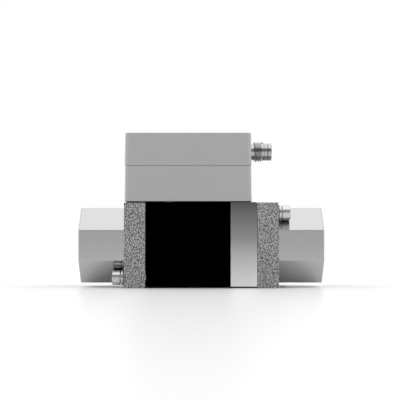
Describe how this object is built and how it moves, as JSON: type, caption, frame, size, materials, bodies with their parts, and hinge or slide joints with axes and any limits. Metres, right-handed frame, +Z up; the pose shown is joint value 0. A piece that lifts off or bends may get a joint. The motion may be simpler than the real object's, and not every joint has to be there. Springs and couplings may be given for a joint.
{
  "type": "vortex flow sensor",
  "caption": "Compact vortex flow sensor: black measuring body between two threaded octagonal pipe adapters, with a grey electronics housing and a round plug on top.",
  "frame": {"origin": "on the floor, under the middle of the sensor", "axes": "+X along the pipe axis from the inlet to the outlet, +Z up through the electronics housing, -Y out of the labelled front"},
  "size_m": [0.091, 0.0316, 0.0574],
  "materials": {
    "cast_steel": "investment cast stainless steel, pebbled flange and smooth machined octagon",
    "polished_steel": "polished stainless steel",
    "black_plastic": "glass-filled moulding, satin",
    "grey_plastic": "fine satin moulding",
    "natural_polymer": "natural fluoropolymer",
    "rubber": "moulded",
    "foil": "printed polyester foil, a black field and a silver strip",
    "nickel": "nickel-plated brass",
    "gold": "gold-plated",
    "laminate": "green solder mask"
  },
  "bodies": {
    "root": {"measuring_body": "black_plastic", "front_label": "foil", "inlet_adapter": "cast_steel", "outlet_adapter": "cast_steel", "inlet_screw_front": "polished_steel", "inlet_screw_back": "polished_steel", "outlet_screw_front": "polished_steel", "outlet_screw_back": "polished_steel", "inlet_washer_front": "polished_steel", "inlet_washer_back": "polished_steel", "outlet_washer_front": "polished_steel", "outlet_washer_back": "polished_steel", "inlet_seal": "rubber", "outlet_seal": "rubber", "shedder_bar": "natural_polymer", "shedder_seal": "rubber", "sensing_paddle": "natural_polymer", "paddle_seal": "rubber", "clamp_plate": "polished_steel", "clamp_screw_1": "polished_steel", "clamp_screw_2": "polished_steel", "housing_base": "grey_plastic", "housing_cover": "grey_plastic", "housing_gasket": "rubber", "base_seal": "rubber", "base_screw_1": "polished_steel", "base_screw_2": "polished_steel", "cover_screw_1": "polished_steel", "cover_screw_2": "polished_steel", "cover_screw_3": "polished_steel", "cover_screw_4": "polished_steel", "circuit_board": "laminate", "processor_chip": "black_plastic", "lead_header": "black_plastic", "board_screw_1": "polished_steel", "board_screw_2": "polished_steel", "sensor_lead": "rubber", "connector_shell": "nickel", "connector_insert": "black_plastic", "contact_pin_1": "gold", "contact_pin_2": "gold", "contact_pin_3": "gold", "contact_pin_4": "gold"}
  },
  "joints": []
}
